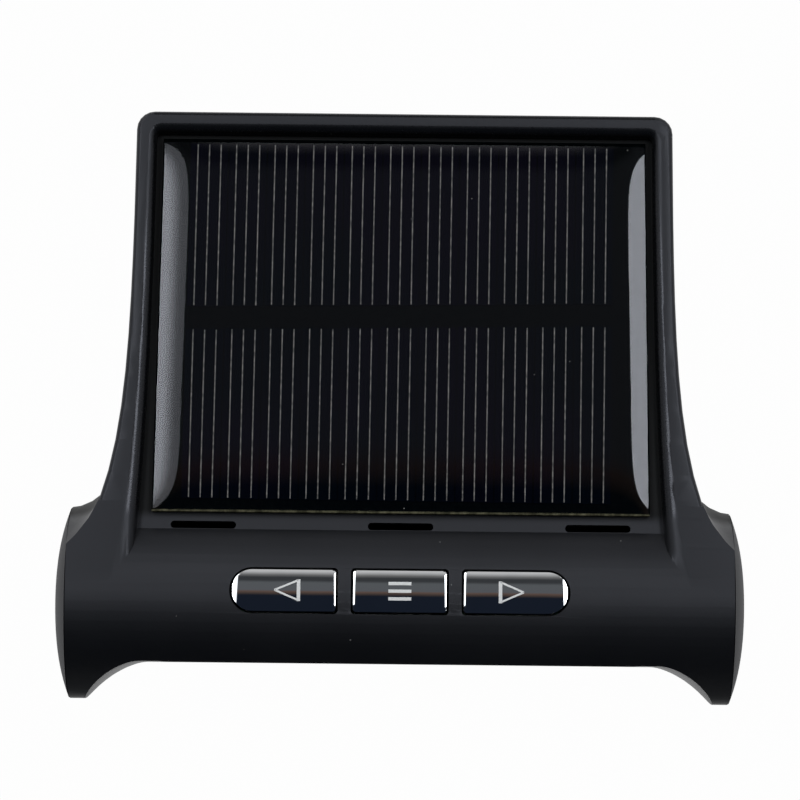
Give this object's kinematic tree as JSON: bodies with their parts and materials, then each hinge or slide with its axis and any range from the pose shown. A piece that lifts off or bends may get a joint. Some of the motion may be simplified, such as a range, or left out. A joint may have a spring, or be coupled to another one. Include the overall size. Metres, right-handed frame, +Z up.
{
  "type": "tire pressure monitor",
  "caption": "Dash-top tyre pressure display unit: a round barrel with a forward display window and push keys on its crest, and a sloping bell-shaped lid that holds a solar module.",
  "frame": {"origin": "centre of the footprint, on the surface that the rubber feet stand on", "axes": "+X to the driver's right, +Y away from the driver towards the windscreen, +Z up"},
  "size_m": [0.098, 0.0838, 0.0282],
  "materials": {
    "housing": "fine satin texture",
    "end_cap": "smooth satin",
    "solar_board": "dark laminate with a pale cut edge",
    "solar_cell": "dark blue silicon",
    "clear_epoxy": "poured clear, glossy",
    "chrome_key": "mirror-plated plastic",
    "black_plastic": "moulded",
    "white_plastic": "moulded",
    "dark_lens": "polished smoked window",
    "lcd_glass": "polarised glass, switched off",
    "contact_rubber": "layered",
    "circuit_board": "green solder mask",
    "ribbon": "flat flexible cable",
    "chip": "moulded resin",
    "steel": "plated",
    "copper": "enamelled wire",
    "battery_foil": "foil pouch",
    "foam": "foam tape",
    "red_insulation": "insulated wire",
    "black_insulation": "insulated wire",
    "foot_rubber": "matt"
  },
  "bodies": {
    "housing": {"top_shell": "housing", "bottom_shell": "housing", "end_cap_left": "end_cap", "end_cap_right": "end_cap", "solar_board": "solar_board", "solar_cells_front": "solar_cell", "solar_cells_rear": "solar_cell", "solar_epoxy": "clear_epoxy", "switch_body_left": "black_plastic", "switch_body_mode": "black_plastic", "switch_body_right": "black_plastic", "display_lens": "dark_lens", "lcd_panel": "lcd_glass", "lcd_frame": "black_plastic", "lcd_backlight": "white_plastic", "lcd_contact_strip": "contact_rubber", "display_board": "circuit_board", "display_ribbon_socket": "white_plastic", "main_board": "circuit_board", "main_ribbon_socket": "white_plastic", "display_ribbon": "ribbon", "controller_chip": "chip", "radio_chip": "chip", "radio_crystal": "steel", "antenna_coil": "copper", "buzzer": "black_plastic", "usb_socket": "steel", "battery_plug": "white_plastic", "battery": "battery_foil", "battery_foam_pad": "foam", "battery_lead_red": "red_insulation", "battery_lead_black": "black_insulation", "solar_lead_red": "red_insulation", "solar_lead_black": "black_insulation", "case_screw_front_left": "steel", "case_screw_front_right": "steel", "case_screw_rear_left": "steel", "case_screw_rear_right": "steel", "foot_front_left": "foot_rubber", "foot_front_right": "foot_rubber", "foot_rear_left": "foot_rubber", "foot_rear_right": "foot_rubber"},
    "left_key": {"key_left": "chrome_key", "switch_plunger_left": "white_plastic"},
    "mode_key": {"key_mode": "chrome_key", "switch_plunger_mode": "white_plastic"},
    "right_key": {"key_right": "chrome_key", "switch_plunger_right": "white_plastic"}
  },
  "joints": [
    {"name": "left_key_press", "type": "slide", "parent": "housing", "child": "left_key", "axis": [0, -0.1805, -0.9836], "range_m": [0, 0.0003], "stiffness_N_per_m": 4000},
    {"name": "mode_key_press", "type": "slide", "parent": "housing", "child": "mode_key", "axis": [0, -0.1805, -0.9836], "range_m": [0, 0.0003], "stiffness_N_per_m": 4000},
    {"name": "right_key_press", "type": "slide", "parent": "housing", "child": "right_key", "axis": [0, -0.1805, -0.9836], "range_m": [0, 0.0003], "stiffness_N_per_m": 4000}
  ]
}
